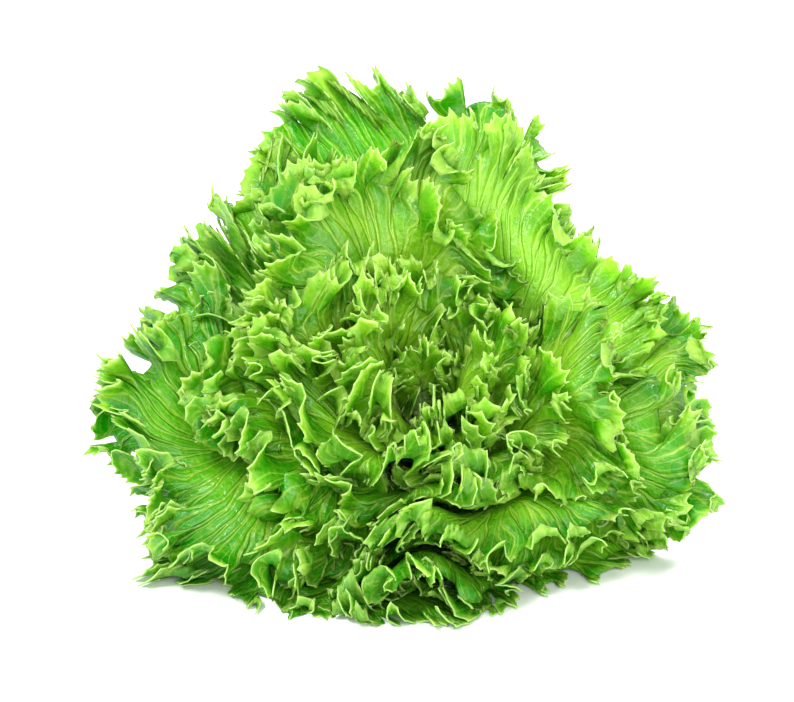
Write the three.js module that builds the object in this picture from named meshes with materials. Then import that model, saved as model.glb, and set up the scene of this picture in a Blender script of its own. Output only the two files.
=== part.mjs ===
// A head of green leaf lettuce, cut at the butt and resting on its lower leaves with its heart
// turned up and to the front: one short core and the thirty-four loose, broad leaves round it.
// Millimetres, +Z up, the front towards -Y, the origin under the middle of the head.
import * as THREE from "three";
import { mergeVertices } from "three/addons/utils/BufferGeometryUtils.js";

const mix = THREE.MathUtils.lerp;
const clamp = THREE.MathUtils.clamp;
const smoothstep = THREE.MathUtils.smoothstep;
const degrees = THREE.MathUtils.degToRad;

// Driving dimensions.
const AXIS_RISE = degrees(45); // the head's axis above the horizontal
const CORE_HEIGHT = 62; // from the lowest leaf to the growing tip
const CORE_FOOT_RADIUS = 15;
const CORE_TIP_RADIUS = 3.5;
const BUTT_LENGTH = 16; // bare stem below the lowest leaf
const BUTT_MIDDLE = new THREE.Vector3(0, 58, 20.6); // where the lowest leaf joins the core's axis
const LEAF_COUNT = 34;
const LEAF_TURN = degrees(137.508); // from one leaf to the next
const FIRST_LEAF_AT = degrees(-104);
const LEVEL_CROWDING = 0.68; // under 1, the outer leaves lie closer together than the inner ones
const LEVEL_SLANT = 0.0045; // how far a leaf tucks under the next one, for each degree of turn
const OUTER_LEAF_LENGTH = 178;
const HEART_LEAF_LENGTH = 64;
const LENGTH_FALL = 1.35; // over 1, the leaves shorten slowly at first
const LENGTH_SPREAD = 0.12; // how far a leaf is longer or shorter than its place would make it
const WRAP_LIMIT = degrees(149); // the furthest a leaf's side turns round the axis
const BLADE_THICKNESS = 0.9;
const RIB_THICKNESS = 3.2; // the midrib, at its foot
const RIB_LENGTH = 0.6; // the thick part of the midrib, as fractions of the leaf's length
const RIB_WIDTH = 0.06;
const RIB_REACH = 0.42; // how far up the midrib the veins of the sides have left it
const RIB_TIP_REACH = 0.14; // and how much further those of the tip go
const FLOOR_SOFTNESS = 8; // below this height the leaves lie flatter and flatter
const JOINT_GAP = 0.4; // between a leaf's foot and the core

// The outermost bowl, every 30 degrees round the axis from the right: how far its leaves reach,
// and the angle between them and the axis at their feet and BOWL_DEPTH out. The head is broad at
// both sides, tall at the top, and short and flat underneath, where it lies on the table.
const BOWL_DEPTH = 180;
const BOWL_SPREAD = [0.83, 0.75, 0.85, 1.06, 1.1, 0.83, 0.82, 0.79, 0.7, 0.8, 0.54, 0.59];
const BOWL_START = [58, 54, 48, 45, 48, 54, 58, 66, 67, 58, 68, 72];
const BOWL_END = [92, 94, 84, 78, 84, 94, 92, 90, 68, 36, 70, 98];
const HEART_SPREAD = 0.92;
const HEART_START = 6;
const HEART_END = 20;
const BARELY = 1e-6; // keeps a straight bowl from dividing by nothing

// The leaves near this bearing stay short, so that the broad leaf behind them lies open.
const CLEARING = { bearing: degrees(50), width: degrees(36), shortening: 0.5, fromLeaf: 10 };

// The waves that bend all the leaves together. Each moves points along one axis, by an amount
// that changes only across it, so that leaves beside each other still never touch.
const BENDS = [
  { moves: "x", across: new THREE.Vector3(0, 0.6, 0.8), length: 96, size: 7, start: 0.4 },
  { moves: "y", across: new THREE.Vector3(0.8, 0, 0.6), length: 84, size: 7, start: 2.1 },
  { moves: "z", across: new THREE.Vector3(0.7, -0.7, 0), length: 90, size: 7, start: 4.0 },
  { moves: "x", across: new THREE.Vector3(0, 0.8, -0.6), length: 53, size: 2.5, start: 1.3 },
  { moves: "y", across: new THREE.Vector3(0.6, 0, -0.8), length: 47, size: 2.5, start: 3.3 },
  { moves: "z", across: new THREE.Vector3(0.9, 0.4, 0), length: 50, size: 2.5, start: 5.2 },
];
const STRAIGHT_WITHIN = 18; // no bending this near the core's axis
const BENT_BEYOND = 75;

// The head's own axes: AXIS points out of the heart, ACROSS to the right and UP_BACK to the top.
const AXIS = new THREE.Vector3(0, -Math.cos(AXIS_RISE), Math.sin(AXIS_RISE));
const ACROSS = new THREE.Vector3(1, 0, 0);
const UP_BACK = new THREE.Vector3().crossVectors(AXIS, ACROSS);

// Half a leaf's outline, as fractions of its length: from the foot, round the side, to the tip.
const OUTLINE = new THREE.SplineCurve([
  new THREE.Vector2(0.05, 0),
  new THREE.Vector2(0.065, 0.14),
  new THREE.Vector2(0.13, 0.27),
  new THREE.Vector2(0.34, 0.38),
  new THREE.Vector2(0.52, 0.56),
  new THREE.Vector2(0.49, 0.8),
  new THREE.Vector2(0.28, 0.97),
  new THREE.Vector2(0, 1),
]);

// A number between 0 and 1 that belongs to one leaf.
function chance(leaf) {
  const value = Math.sin(leaf * 12.9898 + 1) * 43758.5453;
  return value - Math.floor(value);
}

// One of the outermost bowl's lists, read between its bearings.
function bowlValue(list, bearing) {
  const place = THREE.MathUtils.euclideanModulo(bearing / degrees(30), list.length);
  const before = Math.floor(place);
  const after = (before + 1) % list.length;
  return mix(list[before], list[after], smoothstep(place - before, 0, 1));
}

function bend(point) {
  for (const { moves, across, length, size, start } of BENDS) {
    const out = new THREE.Vector3().subVectors(point, BUTT_MIDDLE);
    const fromAxis = out.addScaledVector(AXIS, -out.dot(AXIS)).length();
    const share = smoothstep(fromAxis, STRAIGHT_WITHIN, BENT_BEYOND);
    point[moves] += share * size * Math.sin((2 * Math.PI * point.dot(across)) / length + start);
  }
}

// Heights as the floor leaves them: unchanged above FLOOR_SOFTNESS, squeezed below it.
function settled(z) {
  return z > FLOOR_SOFTNESS ? z : FLOOR_SOFTNESS * Math.exp(z / FLOOR_SOFTNESS - 1);
}

function footRadius(level) {
  return mix(CORE_FOOT_RADIUS, CORE_TIP_RADIUS, level) + JOINT_GAP;
}

// The nested bowls that the leaves follow. level runs from 0, the outermost bowl, to 1, the
// innermost; bearing is the way round the axis; reach is the distance out from the axis along
// the bowl. No two levels cross, so leaves on different levels never touch.
function bowlPoint(level, bearing, reach) {
  const start = degrees(mix(bowlValue(BOWL_START, bearing), HEART_START, level));
  const end = degrees(mix(bowlValue(BOWL_END, bearing), HEART_END, level));
  const curl = (end - start) / BOWL_DEPTH + BARELY; // radians for each millimetre along the bowl
  const spread = mix(bowlValue(BOWL_SPREAD, bearing), HEART_SPREAD, level);
  const along = (reach - footRadius(level)) * spread;
  const radius = footRadius(level) + (Math.cos(start) - Math.cos(start + curl * along)) / curl;
  const height = CORE_HEIGHT * level + (Math.sin(start + curl * along) - Math.sin(start)) / curl;
  const point = BUTT_MIDDLE.clone()
    .addScaledVector(ACROSS, radius * Math.cos(bearing))
    .addScaledVector(UP_BACK, radius * Math.sin(bearing))
    .addScaledVector(AXIS, height);
  bend(point);
  point.z = settled(point.z);
  return point;
}

// A leaf's place in the head. Leaf 0 is the lowest and outermost.
function leafLevel(leaf) {
  return 1 - Math.pow(1 - leaf / (LEAF_COUNT - 1), LEVEL_CROWDING);
}

function leafPlace(leaf) {
  const level = leafLevel(leaf);
  const bearing = FIRST_LEAF_AT + leaf * LEAF_TURN;
  let length = mix(OUTER_LEAF_LENGTH, HEART_LEAF_LENGTH, Math.pow(level, LENGTH_FALL));
  length *= 1 + LENGTH_SPREAD * (2 * chance(leaf) - 1);
  if (leaf >= CLEARING.fromLeaf) {
    const turn = THREE.MathUtils.euclideanModulo(bearing - CLEARING.bearing + Math.PI, 2 * Math.PI);
    const away = (turn - Math.PI) / CLEARING.width;
    length *= 1 - CLEARING.shortening * Math.exp(-away * away);
  }
  const notLast = Math.min(leaf, LEAF_COUNT - 2);
  const levelStep = leafLevel(notLast + 1) - leafLevel(notLast);
  return { level, bearing, length, levelStep };
}

// A point of a leaf laid flat, foot at the origin and tip along +Y. side runs from -1 to 1 round
// the margin, through the tip at 0; outward runs from 0, on the midrib, to 1, on the margin.
function flatPoint(side, outward, length) {
  const round = 1 - Math.abs(side);
  const margin = OUTLINE.getPointAt(round).multiplyScalar(length);
  margin.x *= Math.sign(side);
  const upRib = RIB_REACH * (1 - Math.pow(1 - round, 3)) + RIB_TIP_REACH * round;
  return new THREE.Vector2(0, length * upRib).lerp(margin, outward);
}

// One skin of a leaf: shift is 1 for the upper skin, -1 for the lower one. Where the leaves are
// crowded, half a leaf's thickness is at most THICKEST_SHARE of the step to the next leaf.
const THICKEST_SHARE = 0.3;
const SMALL_RISE = 0.001; // a step in level, to measure how far apart the levels are

function skinPoint(place, side, outward, shift) {
  const flat = flatPoint(side, outward, place.length);
  const foot = footRadius(place.level);
  const reach = Math.hypot(foot + flat.y, flat.x);
  const wrap = 1 + place.level; // the inner leaves wrap further round the axis
  const turn = clamp(Math.atan2(flat.x, foot + flat.y) * wrap, -WRAP_LIMIT, WRAP_LIMIT);
  const level = place.level - LEVEL_SLANT * place.levelStep * THREE.MathUtils.radToDeg(turn);
  const bearing = place.bearing + turn;
  const above = bowlPoint(level + SMALL_RISE, bearing, reach);
  const below = bowlPoint(level - SMALL_RISE, bearing, reach);
  const perLevel = above.distanceTo(below) / (2 * SMALL_RISE);
  const alongRib = clamp(1 - flat.y / (RIB_LENGTH * place.length), 0, 1);
  const ribShare = alongRib * Math.exp(-Math.pow(flat.x / (RIB_WIDTH * place.length), 2));
  const thickness = mix(BLADE_THICKNESS, RIB_THICKNESS, ribShare);
  const half = Math.min(thickness / 2 / perLevel, THICKEST_SHARE * place.levelStep);
  return bowlPoint(level + shift * half, bearing, reach);
}

// A leaf as one closed shell: two skins, joined round the margin and along the foot.
function leafGeometry(leaf, columns, rows) {
  const place = leafPlace(leaf);
  const positions = [];
  const faces = [];
  const skinSize = (columns + 1) * (rows + 1);
  for (const shift of [1, -1]) {
    for (let column = 0; column <= columns; column += 1) {
      for (let row = 0; row <= rows; row += 1) {
        const point = skinPoint(place, (2 * column) / columns - 1, row / rows, shift);
        positions.push(point.x, point.y, point.z);
      }
    }
  }
  const upper = (column, row) => column * (rows + 1) + row;
  const lower = (column, row) => skinSize + upper(column, row);
  const addQuad = (a, b, c, d) => faces.push(a, c, b, a, d, c);
  for (let column = 0; column < columns; column += 1) {
    for (let row = 0; row < rows; row += 1) {
      const next = column + 1;
      addQuad(upper(column, row), upper(next, row), upper(next, row + 1), upper(column, row + 1));
      addQuad(lower(column, row), lower(column, row + 1), lower(next, row + 1), lower(next, row));
    }
    addQuad(upper(column, rows), upper(column + 1, rows), lower(column + 1, rows), lower(column, rows));
  }
  for (let row = 0; row < rows; row += 1) {
    addQuad(upper(0, row), upper(0, row + 1), lower(0, row + 1), lower(0, row));
    addQuad(upper(columns, row + 1), upper(columns, row), lower(columns, row), lower(columns, row + 1));
  }
  const geometry = new THREE.BufferGeometry();
  geometry.setAttribute("position", new THREE.Float32BufferAttribute(positions, 3));
  geometry.setIndex(faces);
  const closed = mergeVertices(geometry, 1e-3);
  closed.computeVertexNormals();
  return closed;
}

function leafMesh(leaf, name, color, columns, rows) {
  const material = new THREE.MeshStandardMaterial({ color, roughness: 0.42, metalness: 0 });
  const mesh = new THREE.Mesh(leafGeometry(leaf, columns, rows), material);
  mesh.name = name;
  return mesh;
}

// The short solid stem inside the head, with the flat face where the head was cut.
function coreMesh() {
  const profile = [
    new THREE.Vector2(0, -BUTT_LENGTH),
    new THREE.Vector2(CORE_FOOT_RADIUS - 2.5, -BUTT_LENGTH),
    new THREE.Vector2(CORE_FOOT_RADIUS - 1, -BUTT_LENGTH + 1.5),
    new THREE.Vector2(CORE_FOOT_RADIUS, -BUTT_LENGTH / 2),
    new THREE.Vector2(CORE_FOOT_RADIUS, 0),
    new THREE.Vector2(CORE_TIP_RADIUS, CORE_HEIGHT),
    new THREE.Vector2(CORE_TIP_RADIUS / 2, CORE_HEIGHT + 3),
    new THREE.Vector2(0, CORE_HEIGHT + 4),
  ];
  const material = new THREE.MeshStandardMaterial({ color: 0xdfe6b8, roughness: 0.6, metalness: 0 });
  const core = new THREE.Mesh(new THREE.LatheGeometry(profile, 24), material);
  core.name = "core";
  core.position.copy(BUTT_MIDDLE);
  core.quaternion.setFromUnitVectors(new THREE.Vector3(0, 1, 0), AXIS);
  return core;
}

// The four sizes of leaf, from the outside in.
const LEAF_GROUPS = [
  { name: "outer_leaf", count: 10, color: 0x5fa51c, columns: 24, rows: 6 },
  { name: "middle_leaf", count: 9, color: 0x6fb524, columns: 22, rows: 5 },
  { name: "inner_leaf", count: 9, color: 0x83c434, columns: 20, rows: 4 },
  { name: "heart_leaf", count: 6, color: 0x9ad046, columns: 16, rows: 3 },
];

const head = new THREE.Group();
head.add(coreMesh());
let firstOfGroup = 0;
for (const { name, count, color, columns, rows } of LEAF_GROUPS) {
  for (let place = 0; place < count; place += 1) {
    const number = String(place + 1).padStart(2, "0");
    head.add(leafMesh(firstOfGroup + place, `${name}_${number}`, color, columns, rows));
  }
  firstOfGroup += count;
}

// The middle of the head's underside goes to the origin.
const box = new THREE.Box3().setFromObject(head, true);
const middle = box.getCenter(new THREE.Vector3());
head.position.set(-middle.x, -middle.y, -box.min.z);

export default head;
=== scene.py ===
# A head of frilly green leaf lettuce, cut at the butt and resting on its lower leaves with its
# heart turned up and to the front. Metres, +Z up, the front towards -Y.
import math

import bpy
import numpy as np
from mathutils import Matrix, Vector


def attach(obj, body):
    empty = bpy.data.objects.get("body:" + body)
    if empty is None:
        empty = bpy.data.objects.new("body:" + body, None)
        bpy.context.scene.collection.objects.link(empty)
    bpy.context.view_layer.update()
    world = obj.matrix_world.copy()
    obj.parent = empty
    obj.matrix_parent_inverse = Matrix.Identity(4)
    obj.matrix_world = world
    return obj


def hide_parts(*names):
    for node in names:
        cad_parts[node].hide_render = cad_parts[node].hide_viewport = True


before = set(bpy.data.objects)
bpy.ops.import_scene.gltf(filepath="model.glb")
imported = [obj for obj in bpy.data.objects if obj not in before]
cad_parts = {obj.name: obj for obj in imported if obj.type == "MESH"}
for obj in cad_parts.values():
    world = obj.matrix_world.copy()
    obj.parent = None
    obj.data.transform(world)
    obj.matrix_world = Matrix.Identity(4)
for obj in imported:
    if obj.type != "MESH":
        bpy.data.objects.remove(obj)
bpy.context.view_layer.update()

# ------------------------------------------------------------------------------------ the core
# The short, solid, pale green stem inside the head. The head was cut from its root across it,
# and the cut face has dried and browned a little. Every leaf grows out of its sides.
AXIS_RISE = math.radians(45)
AXIS = np.array([0, -math.cos(AXIS_RISE), math.sin(AXIS_RISE)])
ACROSS = np.array([1.0, 0, 0])
UP_BACK = np.cross(AXIS, ACROSS)
CORE_HEIGHT = 0.062
CORE_FOOT_RADIUS = 0.015
CORE_TIP_RADIUS = 0.0035
CORE_STEPS = 10
BUTT_LENGTH = 0.016
CUT_RINGS, CUT_RING_WIDTH = 6, 0.0018
CUT_EDGE_ROUNDING = 0.0012


def butt_middle():
    """Where the lowest leaf joins the core's axis, found from the flat cut face of the core."""
    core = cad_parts["core"]
    corners = np.array([v.co for v in core.data.vertices])
    along = corners @ AXIS
    cut_face = corners[along < along.min() + 1e-5]
    return cut_face.mean(axis=0) + BUTT_LENGTH * AXIS


BUTT_MIDDLE = butt_middle()


def pick_faces(mesh, wanted):
    """Selects the faces for which wanted(centre, normal) holds, and nothing else."""
    mesh.vertices.foreach_set("select", np.zeros(len(mesh.vertices), bool))
    mesh.edges.foreach_set("select", np.zeros(len(mesh.edges), bool))
    for face in mesh.polygons:
        face.select = bool(wanted(face.center, face.normal))


def make_core():
    bpy.ops.object.select_all(action="DESELECT")
    bpy.ops.mesh.primitive_cylinder_add(
        vertices=64, radius=CORE_FOOT_RADIUS, depth=BUTT_LENGTH, end_fill_type="NGON",
        location=(0, 0, -BUTT_LENGTH / 2))
    core = bpy.context.object
    core.name = "core_stem"
    bpy.ops.object.transform_apply(location=True)
    pick_faces(core.data, lambda centre, normal: normal.z > 0.9)
    bpy.ops.object.mode_set(mode="EDIT")
    bpy.ops.mesh.select_mode(type="FACE")
    narrowing = CORE_TIP_RADIUS - CORE_FOOT_RADIUS
    for step in range(CORE_STEPS):
        radius_now = CORE_FOOT_RADIUS + narrowing * step / CORE_STEPS
        radius_next = CORE_FOOT_RADIUS + narrowing * (step + 1) / CORE_STEPS
        bpy.ops.mesh.extrude_region_move(
            TRANSFORM_OT_translate={"value": (0, 0, CORE_HEIGHT / CORE_STEPS)})
        bpy.ops.transform.resize(value=(radius_next / radius_now,) * 2 + (1,))
    bpy.ops.object.mode_set(mode="OBJECT")
    pick_faces(core.data, lambda centre, normal: normal.z < -0.9)
    bpy.ops.object.mode_set(mode="EDIT")
    for _ in range(CUT_RINGS):
        bpy.ops.mesh.inset(thickness=CUT_RING_WIDTH, depth=0)
    bpy.ops.object.mode_set(mode="OBJECT")
    bevel = core.modifiers.new("cut edge", "BEVEL")
    bevel.width = CUT_EDGE_ROUNDING
    bevel.segments = 3
    bevel.limit_method = "ANGLE"
    bevel.angle_limit = math.radians(50)
    bpy.ops.object.modifier_apply(modifier=bevel.name)
    subsurf = core.modifiers.new("smooth", "SUBSURF")
    subsurf.subdivision_type = "SIMPLE"
    subsurf.levels = subsurf.render_levels = 1
    bpy.ops.object.modifier_apply(modifier=subsurf.name)
    return core


core = make_core()


def new_material(name):
    """An empty node material with an output, and its node tree."""
    material = bpy.data.materials.new(name)
    material.use_nodes = True
    tree = material.node_tree
    tree.nodes.clear()
    tree.nodes.new("ShaderNodeOutputMaterial")
    return material, tree


def link(tree, source, target):
    tree.links.new(source, target)
    return target.node


def ramp(tree, value, stops):
    """A colour ramp over value; stops are (position, colour) pairs."""
    node = tree.nodes.new("ShaderNodeValToRGB")
    link(tree, value, node.inputs["Fac"])
    elements = node.color_ramp.elements
    elements.remove(elements[1])
    for number, (position, colour) in enumerate(stops):
        element = elements.new(position) if number else elements[0]
        element.position = position
        element.color = (*colour, 1)
    return node.outputs["Color"]


def fade(tree, value, first, last, start=1.0, end=0.0):
    """start where value is first, end where it is last, and a smooth change between them."""
    node = tree.nodes.new("ShaderNodeMapRange")
    node.interpolation_type = "SMOOTHSTEP"
    link(tree, value, node.inputs["Value"])
    limits = {"From Min": first, "From Max": last, "To Min": start, "To Max": end}
    for name, setting in limits.items():
        node.inputs[name].default_value = setting
    return node.outputs["Result"]


def blend_colours(tree, share, first, second, mode="MIX"):
    """first and second mixed by share; each is a socket or a fixed colour."""
    node = tree.nodes.new("ShaderNodeMix")
    node.data_type = "RGBA"
    node.blend_type = mode
    for place, value in ((0, share), (6, first), (7, second)):
        if isinstance(value, bpy.types.NodeSocket):
            link(tree, value, node.inputs[place])
        elif place == 0:
            node.inputs[0].default_value = value
        else:
            node.inputs[place].default_value = (*value, 1)
    return node.outputs[2]


def maths(tree, operation, first, second=None):
    node = tree.nodes.new("ShaderNodeMath")
    node.operation = operation
    for place, value in ((0, first), (1, second)):
        if isinstance(value, bpy.types.NodeSocket):
            link(tree, value, node.inputs[place])
        elif value is not None:
            node.inputs[place].default_value = value
    return node.outputs[0]


def attribute(tree, name):
    node = tree.nodes.new("ShaderNodeAttribute")
    node.attribute_name = name
    return node.outputs["Fac"]


def noise(tree, where, scale, detail=3.0, roughness=0.55):
    node = tree.nodes.new("ShaderNodeTexNoise")
    link(tree, where, node.inputs["Vector"])
    node.inputs["Scale"].default_value = scale
    node.inputs["Detail"].default_value = detail
    node.inputs["Roughness"].default_value = roughness
    return node.outputs["Fac"]


def stretched(tree, where, scale):
    node = tree.nodes.new("ShaderNodeMapping")
    link(tree, where, node.inputs["Vector"])
    node.inputs["Scale"].default_value = scale
    return node.outputs["Vector"]


STEM_DARK, STEM_PALE = (0.52, 0.62, 0.26), (0.74, 0.80, 0.50)
BROWNED, DRIED, FRESH = (0.28, 0.14, 0.05), (0.62, 0.46, 0.24), (0.78, 0.72, 0.46)


def core_finish():
    """Pale green flesh, streaked along the stem, browned and ringed on the cut face."""
    material, tree = new_material("core_flesh")
    place = tree.nodes.new("ShaderNodeTexCoord").outputs["Object"]
    cut = attribute(tree, "cut")
    streaks = noise(tree, stretched(tree, place, (260, 90, 90)), 1.0, 4.0)
    flesh = ramp(tree, streaks, ((0.3, STEM_DARK), (0.7, STEM_PALE)))
    stains = noise(tree, place, 210.0, 5.0, 0.65)
    face = ramp(tree, stains, ((0.32, BROWNED), (0.5, DRIED), (0.72, FRESH)))
    colour = blend_colours(tree, cut, flesh, face)
    shader = tree.nodes.new("ShaderNodeBsdfPrincipled")
    link(tree, colour, shader.inputs["Base Color"])
    link(tree, fade(tree, stains, 0.3, 0.7, 0.75, 0.45), shader.inputs["Roughness"])
    bump = tree.nodes.new("ShaderNodeBump")
    bump.inputs["Distance"].default_value = 0.0006
    bump.inputs["Strength"].default_value = 0.6
    link(tree, stains, bump.inputs["Height"])
    link(tree, bump.outputs["Normal"], shader.inputs["Normal"])
    link(tree, shader.outputs[0], tree.nodes["Material Output"].inputs["Surface"])
    return material


ON_TABLE = 0.0001
SCAR_DEPTH = 0.045  # as a share of the stem's radius
SCAR_SLANTS = 0.0021, 0.0034
SCARS_BEYOND, SCARS_FULL_OVER = 0.6, 0.012
DISH_DEPTH, DISH_RADIUS = 0.0012, 0.011
CUT_MARK_HEIGHT = 0.0016


def place_core(core):
    """Stands the stem on its axis, with ridges where leaves left it and a marked cut face."""
    points = np.array([v.co for v in core.data.vertices])
    radius = np.hypot(points[:, 0], points[:, 1])
    around = np.arctan2(points[:, 1], points[:, 0])
    one_way = np.sin(2 * around + points[:, 2] / SCAR_SLANTS[0])
    scars = one_way * np.sin(3 * around - points[:, 2] / SCAR_SLANTS[1])
    above_cut = points[:, 2] > -BUTT_LENGTH + 0.001
    side = np.clip(radius / SCARS_FULL_OVER - SCARS_BEYOND, 0, 1) * above_cut
    swell = 1 - SCAR_DEPTH * side * (0.5 + 0.5 * scars)
    points[:, :2] *= swell[:, None]
    dished = np.clip(1 - radius / DISH_RADIUS, 0, 1) * (points[:, 2] < -BUTT_LENGTH + 0.0005)
    points[:, 2] += DISH_DEPTH * dished
    cut = (points[:, 2] < -BUTT_LENGTH + CUT_MARK_HEIGHT).astype(np.float32)
    mark = core.data.attributes.new("cut", "FLOAT", "POINT")
    mark.data.foreach_set("value", cut)
    placed = BUTT_MIDDLE + points[:, :1] * ACROSS + points[:, 1:2] * UP_BACK + points[:, 2:] * AXIS
    placed[:, 2] = np.maximum(placed[:, 2], ON_TABLE)
    core.data.vertices.foreach_set("co", placed.astype(np.float32).ravel())
    core.data.update()


place_core(core)
core.data.materials.append(core_finish())
bpy.ops.object.shade_smooth_by_angle(angle=math.radians(40))
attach(core, "root")
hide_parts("core")

# -------------------------------------------------------------------------------- the leaves
# Thirty-four loose leaves in a spiral round the core, the lowest and largest first. Each is a thin,
# crisp, fan-veined blade on a short thick midrib, and its margin has grown far longer than the
# blade behind it, so it folds, curls and frills. The ten outer leaves carry and shelter the rest.
LEAF_COUNT = 34
LEAF_TURN = math.radians(137.508)
FIRST_LEAF_AT = math.radians(-104)
LEVEL_CROWDING = 0.68
LEVEL_SLANT = 0.0045
OUTER_LEAF_LENGTH = 0.178
HEART_LEAF_LENGTH = 0.064
LENGTH_FALL = 1.35
LENGTH_SPREAD = 0.12
WRAP_LIMIT = math.radians(149)
FLOOR_SOFTNESS = 0.008
JOINT_GAP = 0.0004
BOWL_DEPTH = 0.180
BOWL_SPREAD = (0.83, 0.75, 0.85, 1.06, 1.1, 0.83, 0.82, 0.79, 0.7, 0.8, 0.54, 0.59)
BOWL_START = (58, 54, 48, 45, 48, 54, 58, 66, 67, 58, 68, 72)
BOWL_END = (92, 94, 84, 78, 84, 94, 92, 90, 68, 36, 70, 98)
HEART_SPREAD, HEART_START, HEART_END = 0.92, 6, 20
CLEARING_AT, CLEARING_WIDTH = math.radians(50), math.radians(36)
CLEARING_SHORTENING, CLEARING_FROM = 0.5, 10
BENDS = (  # the axis moved, the direction across, the wave's length and size, and its start
    (0, (0, 0.6, 0.8), 0.096, 0.007, 0.4), (1, (0.8, 0, 0.6), 0.084, 0.007, 2.1),
    (2, (0.7, -0.7, 0), 0.090, 0.007, 4.0), (0, (0, 0.8, -0.6), 0.053, 0.0025, 1.3),
    (1, (0.6, 0, -0.8), 0.047, 0.0025, 3.3), (2, (0.9, 0.4, 0), 0.050, 0.0025, 5.2))
STRAIGHT_WITHIN, BENT_BEYOND = 0.018, 0.075
OUTLINE = (  # half a flat leaf, from its foot round to its tip, as shares of its length
    (0.05, 0), (0.065, 0.14), (0.13, 0.27), (0.34, 0.38),
    (0.52, 0.56), (0.49, 0.8), (0.28, 0.97), (0, 1))
FRAME_MIDDLE = BUTT_MIDDLE - np.array([0, 0.058, 0.0206])  # the bends are counted from here


def smoothstep(value, low, high):
    share = np.clip((value - low) / (high - low), 0, 1)
    return share * share * (3 - 2 * share)


def mix(first, second, share):
    return first + (second - first) * share


def bowl_value(values, bearing):
    """One of the outermost bowl's lists, read between its bearings."""
    values = np.array(values, float)
    place = np.mod(bearing / math.radians(360 / len(values)), len(values))
    before = np.floor(place).astype(int)
    share = smoothstep(place - before, 0, 1)
    before = before % len(values)
    return mix(values[before], values[(before + 1) % len(values)], share)


def bend(points):
    """The waves that bend all the leaves together, fading out near the core."""
    for moved, across, length, size, start in BENDS:
        out = points - BUTT_MIDDLE
        from_axis = np.linalg.norm(out - (out @ AXIS)[:, None] * AXIS, axis=1)
        share = smoothstep(from_axis, STRAIGHT_WITHIN, BENT_BEYOND)
        phase = 2 * np.pi * ((points - FRAME_MIDDLE) @ np.array(across)) / length + start
        points[:, moved] += share * size * np.sin(phase)


def foot_radius(level):
    return mix(CORE_FOOT_RADIUS, CORE_TIP_RADIUS, level) + JOINT_GAP


def bowl_point(level, bearing, reach):
    """Points of the nested bowls that the leaves follow: level 0 is outermost, 1 the heart."""
    start = np.radians(mix(bowl_value(BOWL_START, bearing), HEART_START, level))
    end = np.radians(mix(bowl_value(BOWL_END, bearing), HEART_END, level))
    curl = (end - start) / BOWL_DEPTH + 1e-3
    spread = mix(bowl_value(BOWL_SPREAD, bearing), HEART_SPREAD, level)
    along = (reach - foot_radius(level)) * spread
    radius = foot_radius(level) + (np.cos(start) - np.cos(start + curl * along)) / curl
    height = CORE_HEIGHT * level + (np.sin(start + curl * along) - np.sin(start)) / curl
    points = (BUTT_MIDDLE + (radius * np.cos(bearing))[:, None] * ACROSS
              + (radius * np.sin(bearing))[:, None] * UP_BACK + height[:, None] * AXIS)
    bend(points)
    rise = points[:, 2] - FRAME_MIDDLE[2]
    squeezed = FLOOR_SOFTNESS * np.exp(np.minimum(rise, FLOOR_SOFTNESS) / FLOOR_SOFTNESS - 1)
    points[:, 2] = FRAME_MIDDLE[2] + np.where(rise > FLOOR_SOFTNESS, rise, squeezed)
    return points


def leaf_level(leaf):
    return 1 - (1 - leaf / (LEAF_COUNT - 1)) ** LEVEL_CROWDING


def in_clearing(bearing):
    """How far a leaf stands in the open side of the head, 0 to 1."""
    turn = (bearing - CLEARING_AT + math.pi) % (2 * math.pi) - math.pi
    return math.exp(-(turn / CLEARING_WIDTH) ** 2)


def leaf_place(leaf):
    """Level, bearing, length and step to the next level of a leaf; leaf 0 is the lowest."""
    level = leaf_level(leaf)
    bearing = FIRST_LEAF_AT + leaf * LEAF_TURN
    length = mix(OUTER_LEAF_LENGTH, HEART_LEAF_LENGTH, level ** LENGTH_FALL)
    chance = math.sin(leaf * 12.9898 + 1) * 43758.5453
    length *= 1 + LENGTH_SPREAD * (2 * (chance - math.floor(chance)) - 1)
    if leaf >= CLEARING_FROM:
        length *= 1 - CLEARING_SHORTENING * in_clearing(bearing)
    before = min(leaf, LEAF_COUNT - 2)
    return level, bearing, length, leaf_level(before + 1) - leaf_level(before)


def outline_curve():
    """Half the outline as a smooth curve through its points, evenly spaced, with its length."""
    points = np.array(OUTLINE)
    points = np.vstack([2 * points[0] - points[1], points, 2 * points[-1] - points[-2]])
    share = np.linspace(0, 1, 60, endpoint=False)[:, None]
    spans = []
    for a, b, c, d in zip(points, points[1:], points[2:], points[3:]):
        spans.append(0.5 * (2 * b + (c - a) * share + (2 * a - 5 * b + 4 * c - d) * share ** 2
                            + (3 * b - a - 3 * c + d) * share ** 3))
    curve = np.vstack(spans + [points[-2:-1]])
    steps = np.linalg.norm(np.diff(curve, axis=0), axis=1)
    travelled = np.concatenate([[0], np.cumsum(steps)])
    return curve, travelled / travelled[-1], travelled[-1]


OUTLINE_POINTS, OUTLINE_AT, OUTLINE_LENGTH = outline_curve()
WIDEST = 0.55  # the midrib to the margin where the leaf is widest, as a share of its length
ROW = 0.014
FINER_WITHIN = (0.030, 0.014, 0.0045)  # of the margin


def margin_rings(mesh, beyond):
    """Splits every face of the flat grid that lies beyond that share of the way out."""
    pick_faces(mesh, lambda centre, normal: centre.y > 2 * beyond - 1)
    bpy.ops.object.mode_set(mode="EDIT")
    bpy.ops.mesh.select_mode(type="FACE")
    bpy.ops.mesh.subdivide(number_cuts=1)
    bpy.ops.object.mode_set(mode="OBJECT")


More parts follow.
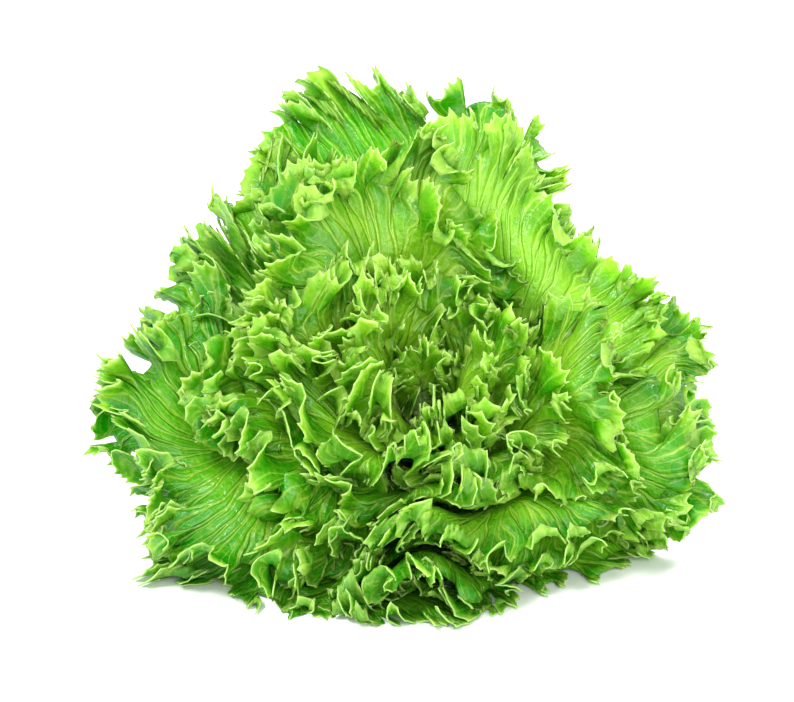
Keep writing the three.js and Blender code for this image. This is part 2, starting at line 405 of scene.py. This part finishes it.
def leaf_blank(name, columns, length):
    """A flat grid, once round the margin by midrib to margin, with ever finer faces outwards."""
    bpy.ops.object.select_all(action="DESELECT")
    ray = WIDEST * length
    rows = max(3, round(ray / ROW))
    bpy.ops.mesh.primitive_grid_add(x_subdivisions=columns, y_subdivisions=rows, size=2)
    blank = bpy.context.object
    blank.name = name
    for within in FINER_WITHIN:
        margin_rings(blank.data, 1 - within / ray)
    return blank


def slow_noise(place, knots, chance):
    """Smooth noise between -1 and 1 over place 0 to 1, with that many knots."""
    heights = chance.uniform(-1, 1, knots + 1)
    at = np.clip(place, 0, 1) * (knots - 1)
    before = np.minimum(at.astype(int), knots - 2)
    return mix(heights[before], heights[before + 1], smoothstep(at - before, 0, 1))


def wave(place, count, unevenness, chance):
    """The phase of a row of waves round the margin, none quite like the next."""
    shift = unevenness * slow_noise(place, int(count) + 2, chance)
    return 2 * np.pi * (count * place + shift) + chance.uniform(0, 2 * np.pi)


# The margin's waves: their length round it, how steeply they tip the leaf in radians, how far in
# they reach, how unevenly they are spaced and sized, and how far they slant and sway.
FOLD = dict(length=0.044, size=0.95, width=0.037, spacing=0.5, sizes=0.4, slant=1.6, sway=0.10)
CURL = dict(length=0.0215, size=2.15, width=0.016, spacing=0.9, sizes=0.55, slant=3.2, sway=0.22)
CRIMP = dict(length=0.0095, size=1.3, width=0.006, spacing=0.6, sizes=0.8, slant=1.2, sway=0.10)
FOLD_LOST, CURL_LOST = 0.9, 0.45  # by the heart's leaves
CLEARING_CALM, CLEARING_CURL_CALM = 0.7, 0.6
LEAN, LEAN_AT_BACK, LEAN_WIDTH = -0.5, 0.2, 0.05
FRILL_STARTS, FRILL_FULL = 0.05, 0.28  # of the way round from the leaf's foot to its tip
CURLS_WIDER_AT_LEFT = 0.25
LOBE_SIZE = 0.0070
TOOTH_GAPS = (3, 6)
TOOTH_LENGTHS = (0.0014, 0.0056)
SHORT_TEETH, TOOTH_POINT = 1.6, 1.3  # the first favours short teeth, the second hollows their sides
TOOTH_BASE = 0.0100
FINEST_COLUMN = 0.00165
COLUMN_SPLITS = 2 ** len(FINER_WITHIN)
BLADE_WAVES, BLADE_WAVE_SIZE = 3.2, 0.0045
RIB_GROOVE = 0.0022
RIB_TIP_WIDTH, RIB_WIDENING = 0.0025, 0.0055
RIB_FADES, RIB_GONE = 0.2, 0.66  # up the leaf's length
REACH_OF_FRILL = 3.2
LEAST_FRILL = 0.012
LEAST_PER_LEVEL = 0.02
RAY_STEPS = 16
RIB_REACH, RIB_SPREAD = 0.42, 0.14


def flat_ray(place, length):
    """Where each ray leaves the midrib, its direction, and its length in the flat leaf."""
    side = 2 * place - 1
    round_margin = 1 - np.abs(side)
    margin_x = np.interp(round_margin, OUTLINE_AT, OUTLINE_POINTS[:, 0]) * length * np.sign(side)
    margin_y = np.interp(round_margin, OUTLINE_AT, OUTLINE_POINTS[:, 1]) * length
    rib_y = length * (RIB_REACH * (1 - (1 - round_margin) ** 3) + RIB_SPREAD * round_margin)
    ray = np.hypot(margin_x, margin_y - rib_y) + 1e-9
    return round_margin, rib_y, margin_x / ray, (margin_y - rib_y) / ray, ray


def leaf_shape(leaf, place, outward, tooth):
    """Points of a leaf; place runs round its margin, outward from midrib to margin, both 0 to 1.

    tooth is how much of a tooth stands at that place of the margin. Also gives the distance in
    from the margin and the share of midrib, as they are in the flat leaf.
    """
    level, bearing, length, level_step = leaf_place(leaf)
    chance = np.random.default_rng(35 + leaf)
    round_margin, rib_y, ray_x, ray_y, ray = flat_ray(place, length)
    inward = (1 - outward) * ray
    margin_length = 2 * OUTLINE_LENGTH * length

    # folds, curls and crimps tip each ray up and down; going along it adds up how far it gets
    free = smoothstep(round_margin, FRILL_STARTS, FRILL_FULL)
    folds = int(margin_length / FOLD["length"]) + 1
    fold_at = wave(place, folds, FOLD["spacing"], chance)
    curl_at = wave(place, margin_length / CURL["length"], CURL["spacing"], chance)
    crimp_at = wave(place, margin_length / CRIMP["length"], CRIMP["spacing"], chance)
    calm = 1 - CLEARING_CALM * in_clearing(bearing)
    fold_size = FOLD["size"] * (1 + FOLD["sizes"] * slow_noise(place, folds + 3, chance))
    fold_size = fold_size * free * calm * (1 - FOLD_LOST * level)
    curl_size = CURL["size"] * (1 + CURL["sizes"] * slow_noise(place, 3 * folds, chance))
    curl_size = curl_size * free * (1 - CURL_LOST * level) * mix(1, calm, CLEARING_CURL_CALM)
    crimp_size = CRIMP["size"] * (1 + CRIMP["sizes"] * slow_noise(place, 5 * folds, chance)) * free
    curl_slant = CURL["slant"] * slow_noise(place, 2 * folds, chance)
    fold_slant = FOLD["slant"] * slow_noise(place, folds + 1, chance)
    crimp_slant = CRIMP["slant"] * slow_noise(place, 4 * folds, chance)
    lean = (LEAN_AT_BACK * math.sin(bearing) + LEAN) * free
    wider = 1 + CURLS_WIDER_AT_LEFT - CURLS_WIDER_AT_LEFT * math.cos(bearing)
    curl_width = wider * CURL["width"]
    crimp_width = wider * CRIMP["width"]

    def tilt(distance):
        in_fold = distance / FOLD["width"]
        fold = fold_size * np.sin(fold_at + fold_slant * in_fold) * smoothstep(in_fold, 1, 0.1)
        in_curl = distance / curl_width
        curl = curl_size * np.sin(curl_at + curl_slant * in_curl) * smoothstep(in_curl, 1, -0.15)
        in_crimp = distance / crimp_width
        crimp = crimp_size * np.sin(crimp_at + crimp_slant * in_crimp)
        crimp = crimp * smoothstep(in_crimp, 1, -0.2)
        return fold + curl + crimp + lean * smoothstep(distance, LEAN_WIDTH, 0)

    start = np.minimum(np.maximum(0, 1 - FOLD["width"] / ray), outward)
    step = (outward - start) / RAY_STEPS
    forward, lift = start.copy(), np.zeros_like(start)
    for number in range(RAY_STEPS):
        angle = tilt((1 - start - (number + 0.5) * step) * ray)
        forward += step * np.cos(angle)
        lift += step * np.sin(angle)
    forward, lift = forward * ray, lift * ray
    sideways = np.zeros_like(start)
    for kind, at in ((FOLD, fold_at), (CURL, curl_at), (CRIMP, crimp_at)):
        near = smoothstep(inward, kind["width"], 0)
        sideways -= free * kind["sway"] * kind["length"] * np.sin(2 * at) * near

    # the toothed edge, longer where a curl stands up
    angle = tilt(inward)
    grown = (tooth + LOBE_SIZE * np.abs(np.sin(curl_at))) * mix(0.3, 1, free)
    grown *= smoothstep(inward, TOOTH_BASE, 0)
    forward += grown * np.cos(angle)
    lift += grown * np.sin(angle)

    # the blade's own slow waves, and the groove along the midrib
    waves = 2 * np.pi * (BLADE_WAVES * place + 0.3 * slow_noise(place, 6, chance))
    waves = waves + chance.uniform(0, 6)
    lift += BLADE_WAVE_SIZE * length / OUTER_LEAF_LENGTH * np.sin(waves) * outward ** 1.6 * free
    x = ray_x * forward + ray_y * sideways
    y = rib_y + ray_y * forward - ray_x * sideways
    rib_width = RIB_TIP_WIDTH + RIB_WIDENING * np.clip(1 - y / length, 0, 1)
    rib = np.exp(-(x / rib_width) ** 2) * (1 - smoothstep(y / length, RIB_FADES, RIB_GONE))
    lift -= RIB_GROOVE * rib

    # the leaf in its bowl
    foot = foot_radius(level)
    reach = np.hypot(foot + y, x)
    turn = np.clip(np.arctan2(x, foot + y) * (1 + level), -WRAP_LIMIT, WRAP_LIMIT)
    base = level - LEVEL_SLANT * level_step * np.degrees(turn)
    rise = 1e-3
    above, below = (bowl_point(base + sign * rise, bearing + turn, reach) for sign in (1, -1))
    per_level = np.linalg.norm(above - below, axis=1) / (2 * rise)
    per_level = np.maximum(per_level, LEAST_PER_LEVEL)
    limit = np.maximum(REACH_OF_FRILL * level_step, LEAST_FRILL / per_level)
    off_level = limit * np.tanh(lift / per_level / limit)
    return bowl_point(base + off_level, bearing + turn, reach), inward, rib


def margin_measure(leaf):
    """Places round the margin, and how far along the grown, curled margin they lie."""
    places = np.linspace(0, 1, 4001)
    points = leaf_shape(leaf, places, np.ones_like(places), np.zeros_like(places))[0]
    steps = np.linalg.norm(np.diff(points, axis=0), axis=1)
    return places, np.concatenate([[0], np.cumsum(steps)])


def teeth_round(margin_column, columns, chance):
    """How far a tooth stands out at each column round the margin."""
    tips = np.cumsum(chance.integers(*TOOTH_GAPS, columns))
    lengths = mix(*TOOTH_LENGTHS, chance.uniform(0, 1, len(tips)) ** SHORT_TEETH)
    at = np.interp(margin_column, tips, np.arange(len(tips)))
    return lengths[np.round(at).astype(int)] * (1 - np.abs(np.sin(np.pi * at))) ** TOOTH_POINT


def grow_leaf(name, leaf):
    """One leaf: its flat grid is shaped, marked and given its thickness."""
    length = leaf_place(leaf)[2]
    places, travelled = margin_measure(leaf)
    columns = round(travelled[-1] / (COLUMN_SPLITS * FINEST_COLUMN))
    blade = leaf_blank(f"{name}_blade", columns, length)
    mesh = blade.data
    grid = np.empty(len(mesh.vertices) * 3)
    mesh.vertices.foreach_get("co", grid)
    even, outward = np.clip((grid.reshape(-1, 3)[:, :2].T + 1) / 2, 0, 1)
    place = np.interp(even * travelled[-1], travelled, places)
    edge_columns = COLUMN_SPLITS * columns
    tooth = teeth_round(even * edge_columns, edge_columns, np.random.default_rng(500 + leaf))
    points, inward, rib = leaf_shape(leaf, place, outward, tooth)
    mesh.vertices.foreach_set("co", points.astype(np.float32).ravel())

    for mark, values in (("edge", inward), ("rib", rib), ("outward", outward)):
        marks = mesh.attributes.new(mark, "FLOAT", "POINT")
        marks.data.foreach_set("value", values.astype(np.float32))
    corners = np.empty(len(mesh.loops), int)
    mesh.loops.foreach_get("vertex_index", corners)
    vein_map = mesh.uv_layers[0]
    vein_map.name = "veins"
    around = place * 2 * OUTLINE_LENGTH * length
    along = outward * flat_ray(place, length)[4]
    flat = np.stack([around, along], axis=1)[corners]
    vein_map.data.foreach_set("uv", flat.astype(np.float32).ravel())
    thicken(blade, rib)
    return blade


BLADE_THICKNESS, MIDRIB_THICKNESS = 0.0006, 0.0032


def thicken(leaf_object, rib):
    """Gives the blade its thickness, and the midrib more, and marks the underside."""
    mesh = leaf_object.data
    group = leaf_object.vertex_groups.new(name="thick")
    weights = np.round(mix(BLADE_THICKNESS / MIDRIB_THICKNESS, 1, rib), 2)
    for share in np.unique(weights):
        group.add(np.flatnonzero(weights == share).tolist(), float(share), "REPLACE")
    count = len(mesh.vertices)
    solid = leaf_object.modifiers.new("thickness", "SOLIDIFY")
    solid.thickness = MIDRIB_THICKNESS
    solid.offset = 0
    solid.vertex_group = group.name
    bpy.context.view_layer.objects.active = leaf_object
    bpy.ops.object.modifier_apply(modifier=solid.name)
    leaf_object.vertex_groups.clear()
    settled = np.empty(len(mesh.vertices) * 3, np.float32)
    mesh.vertices.foreach_get("co", settled)
    settled[2::3] = np.maximum(settled[2::3], ON_TABLE)
    mesh.vertices.foreach_set("co", settled)
    under = np.zeros(len(mesh.vertices), np.float32)
    under[:count] = 1
    marks = mesh.attributes.new("under", "FLOAT", "POINT")
    marks.data.foreach_set("value", under)
    mesh.polygons.foreach_set("use_smooth", np.ones(len(mesh.polygons), bool))
    mesh.update()


# where a fork starts and ends on the way out, and half the gap it opens, in vein spacings
VEIN_FORKS = ((0.1, 0.7, 0.25), (0.4, 1.0, 0.125))


def vein_lines(tree, where, outward, spacing):
    """Distance to fine lines that run out from the midrib and fork twice on their way out."""
    split = tree.nodes.new("ShaderNodeSeparateXYZ")
    link(tree, where, split.inputs[0])
    wander = noise(tree, stretched(tree, where, (16, 22, 1)), 1.0, 2.0)
    around = maths(tree, "ADD", maths(tree, "DIVIDE", split.outputs[0], spacing), wander)
    jitter = noise(tree, stretched(tree, where, (45, 8, 1)), 1.0, 1.0)
    late = maths(tree, "MULTIPLY", maths(tree, "SUBTRACT", jitter, 0.5), 0.8)
    out = maths(tree, "ADD", outward, late)
    away = maths(tree, "PINGPONG", around, 0.5)
    for first, last, half_gap in VEIN_FORKS:
        fork = fade(tree, out, first, last, 0.0, half_gap)
        away = maths(tree, "ABSOLUTE", maths(tree, "SUBTRACT", away, fork))
    spread = maths(tree, "MULTIPLY", away, maths(tree, "ADD", outward, 0.12))
    return maths(tree, "MULTIPLY", spread, spacing)


VEIN_SPACING = 0.024
FINE_VEIN_SPACING = 0.0091
EDGE_LINE = (0.66, 0.79, 0.36)
RIB_FLESH = (0.66, 0.80, 0.34)
UNDERSIDE = (0.32, 0.62, 0.09)
GLOW_TINT, GLOW_SHARE = (1.12, 1.25, 0.1), 0.5


def leaf_finish(name, deep_and_shade, face, light, rim, veins=0.95):
    """Waxy green leaf that glows against the light: paler forked veins, a light rim and rib,
    painted shade in the hollows of its curls, and painted light and shade across the head.
    """
    material, tree = new_material(name)
    vein_map = tree.nodes.new("ShaderNodeUVMap")
    vein_map.uv_map = "veins"
    where = vein_map.outputs["UV"]
    body = tree.nodes.new("ShaderNodeTexCoord").outputs["Object"]
    edge, rib, outward, under = (attribute(tree, a) for a in ("edge", "rib", "outward", "under"))

    away = vein_lines(tree, where, outward, VEIN_SPACING)
    main_veins = fade(tree, away, 0.00005, 0.00038)
    fine_veins = fade(tree, vein_lines(tree, where, outward, FINE_VEIN_SPACING), 0.00002, 0.00024)
    beside_veins = fade(tree, away, 0.0003, 0.0018)
    cells = tree.nodes.new("ShaderNodeTexVoronoi")
    cells.feature = "DISTANCE_TO_EDGE"
    link(tree, stretched(tree, where, (230, 130, 1)), cells.inputs["Vector"])
    cells.inputs["Scale"].default_value = 1.0
    net = fade(tree, cells.outputs["Distance"], 0.01, 0.10)
    mottle = noise(tree, body, 240.0, 3.0)
    blotches = noise(tree, body, 95.0, 3.0)
    # painted shade in the hollows of the curls: the deep colour in a band 2 to 28 mm in from the
    # margin, strongest 7 to 10 mm in
    behind_rim = fade(tree, edge, 0.002, 0.007, 0.0, 1.0)
    painted_cup_shade = maths(tree, "MULTIPLY", behind_rim, fade(tree, edge, 0.010, 0.028))
    rim_share = fade(tree, blotches, 0.3, 0.65, 0.3, 0.9)
    pale_rim = maths(tree, "MULTIPLY", fade(tree, edge, 0.0002, 0.0042), rim_share)

    # painted light and shade: darker towards the bottom left of the head and lighter towards the
    # top right, where the light falls, over random patches of tone
    split = tree.nodes.new("ShaderNodeSeparateXYZ")
    link(tree, body, split.inputs[0])
    to_right = maths(tree, "MULTIPLY", split.outputs[0], 0.9)
    painted_light_side = maths(tree, "ADD", to_right, maths(tree, "MULTIPLY", split.outputs[2], 1.4))
    patches_and_painted_light = maths(tree, "ADD", noise(tree, body, 26.0, 3.0), painted_light_side)
    colour = ramp(tree, patches_and_painted_light, ((0.40, deep_and_shade), (0.66, face), (1.0, light)))
    # painted shade: the curls' hollows darkened towards the deep colour
    colour = blend_colours(tree, maths(tree, "MULTIPLY", painted_cup_shade, 0.75), colour, deep_and_shade)
    colour = blend_colours(tree, fade(tree, blotches, 0.52, 0.8, 0.0, 0.4), colour, light)
    colour = blend_colours(tree, pale_rim, colour, rim)
    colour = blend_colours(tree, maths(tree, "MULTIPLY", net, 0.2), colour, light)
    colour = blend_colours(tree, maths(tree, "MULTIPLY", beside_veins, 0.2), colour, light)
    colour = blend_colours(tree, maths(tree, "MULTIPLY", fine_veins, 0.45), colour, rim)
    vein_share = maths(tree, "MULTIPLY", main_veins, fade(tree, patches_and_painted_light, 0.4, 0.9, 0.4, veins))
    colour = blend_colours(tree, vein_share, colour, rim)
    colour = blend_colours(tree, fade(tree, edge, 0.0001, 0.0007, 0.8), colour, EDGE_LINE)
    colour = blend_colours(tree, fade(tree, outward, 0.0, 0.4, 0.7), colour, rim)
    colour = blend_colours(tree, fade(tree, rib, 0.7, 0.15), colour, RIB_FLESH)
    colour = blend_colours(tree, maths(tree, "MULTIPLY", under, 0.25), colour, UNDERSIDE)

    shader = tree.nodes.new("ShaderNodeBsdfPrincipled")
    link(tree, colour, shader.inputs["Base Color"])
    link(tree, fade(tree, mottle, 0.3, 0.7, 0.20, 0.42), shader.inputs["Roughness"])
    shader.inputs["Specular IOR Level"].default_value = 0.65
    bump = tree.nodes.new("ShaderNodeBump")
    bump.inputs["Distance"].default_value = 0.0012
    bump.inputs["Strength"].default_value = 0.9
    puckers = maths(tree, "ADD", maths(tree, "MULTIPLY", blotches, 2.2), mottle)
    grooves = maths(tree, "MULTIPLY", beside_veins, 0.7)
    link(tree, maths(tree, "SUBTRACT", puckers, grooves), bump.inputs["Height"])
    link(tree, bump.outputs["Normal"], shader.inputs["Normal"])
    glow = tree.nodes.new("ShaderNodeBsdfTranslucent")
    link(tree, blend_colours(tree, 1.0, colour, GLOW_TINT, "MULTIPLY"), glow.inputs["Color"])
    blend = tree.nodes.new("ShaderNodeMixShader")
    blend.inputs["Fac"].default_value = GLOW_SHARE
    link(tree, shader.outputs[0], blend.inputs[1])
    link(tree, glow.outputs[0], blend.inputs[2])
    link(tree, blend.outputs[0], tree.nodes["Material Output"].inputs["Surface"])
    return material


def grow_leaves(group, first, count, finish):
    """Makes one group's leaves, from the outside in."""
    for number in range(count):
        name = f"{group}_{number + 1:02d}"
        blade = grow_leaf(name, first + number)
        blade.data.materials.append(finish)
        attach(blade, "root")
        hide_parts(name)


OUTER_FINISH = leaf_finish(
    "outer_leaf_green", deep_and_shade=(0.012, 0.33, 0.0004), face=(0.125, 0.5, 0.003),
    light=(0.41, 0.63, 0.035), rim=(0.54, 0.74, 0.12))
grow_leaves("outer_leaf", 0, 10, OUTER_FINISH)

# the tenth of them lies open on the sunny side; its finish is a paler copy of the outer one,
# painted light as if lit from behind, with its veins standing out
OPEN_LEAF_LIT_FINISH = leaf_finish(
    "open_leaf_painted_light_green", deep_and_shade=(0.10, 0.42, 0.001), face=(0.28, 0.64, 0.01),
    light=(0.46, 0.76, 0.05), rim=(0.60, 0.86, 0.14), veins=1.0)
bpy.data.objects["outer_leaf_10_blade"].data.materials[0] = OPEN_LEAF_LIT_FINISH

# ------------------------------------------------------------------------- the middle leaves
# Nine shorter, brighter leaves that stand up inside the outer ones, grown the same way and
# fastened to the core higher up.
MIDDLE_FINISH = leaf_finish(
    "middle_leaf_green", deep_and_shade=(0.016, 0.34, 0.0004), face=(0.155, 0.52, 0.003),
    light=(0.43, 0.65, 0.037), rim=(0.56, 0.75, 0.12))
grow_leaves("middle_leaf", 10, 9, MIDDLE_FINISH)

# -------------------------------------------------------------------------- the inner leaves
# Nine light, tender leaves that wrap half round the heart, their frilled tips turned out.
INNER_FINISH = leaf_finish(
    "inner_leaf_green", deep_and_shade=(0.034, 0.36, 0.0006), face=(0.202, 0.55, 0.005),
    light=(0.46, 0.67, 0.04), rim=(0.57, 0.76, 0.13))
grow_leaves("inner_leaf", 19, 9, INNER_FINISH)

# -------------------------------------------------------------------------- the heart leaves
# The six youngest leaves, small, yellow-green and tightly frilled, close round the core's tip.
HEART_FINISH = leaf_finish(
    "heart_leaf_green", deep_and_shade=(0.106, 0.4, 0.001), face=(0.276, 0.61, 0.008),
    light=(0.50, 0.70, 0.05), rim=(0.60, 0.78, 0.14))
grow_leaves("heart_leaf", 28, 6, HEART_FINISH)

# ------------------------------------------------------------------- the table, light and camera
# A plain white table that isn't part of the head, soft light from the upper left, a weaker one
# from the right, and a low camera in front.
bpy.ops.object.select_all(action="DESELECT")
bpy.ops.mesh.primitive_plane_add(size=30)
table = bpy.context.object
table.name = "table"
white, white_tree = new_material("table_white")
white_shader = white_tree.nodes.new("ShaderNodeBsdfPrincipled")
white_shader.inputs["Base Color"].default_value = (0.93, 0.93, 0.94, 1)
white_shader.inputs["Roughness"].default_value = 0.5
link(white_tree, white_shader.outputs[0], white_tree.nodes["Material Output"].inputs["Surface"])
table.data.materials.append(white)

world = bpy.data.worlds.new("studio")
bpy.context.scene.world = world
world.use_nodes = True
world.node_tree.nodes["Background"].inputs["Color"].default_value = (1, 1, 1, 1)
world.node_tree.nodes["Background"].inputs["Strength"].default_value = 0.9


def soft_light(name, turn, rise, softness, power):
    """A wide, even light from that side: turn is counted from the front, positive to the right."""
    light = bpy.data.lights.new(name, "SUN")
    light.angle = math.radians(softness)
    light.energy = power
    lamp = bpy.data.objects.new(name, light)
    bpy.context.scene.collection.objects.link(lamp)
    turn, rise = math.radians(turn), math.radians(rise)
    shines_from = Vector((
        math.cos(rise) * math.sin(turn), -math.cos(rise) * math.cos(turn), math.sin(rise)))
    lamp.rotation_euler = shines_from.to_track_quat("Z", "Y").to_euler()


soft_light("key light", -50, 55, 20, 3.1)
soft_light("back light", 155, 40, 30, 2.5)
soft_light("fill light", 15, 14, 60, 3.1)

CAMERA_RISE = math.radians(15)
CAMERA_AWAY = 1.02
CAMERA_LENS = 97
camera_data = bpy.data.cameras.new("camera")
camera_data.lens = CAMERA_LENS
camera = bpy.data.objects.new("camera", camera_data)
bpy.context.scene.collection.objects.link(camera)
AIM = Vector((-0.001, 0, 0.102))
camera.location = AIM + CAMERA_AWAY * Vector((0, -math.cos(CAMERA_RISE), math.sin(CAMERA_RISE)))
camera.rotation_euler = (AIM - camera.location).to_track_quat("-Z", "Y").to_euler()
bpy.context.scene.camera = camera
bpy.context.scene.view_settings.view_transform = "Standard"
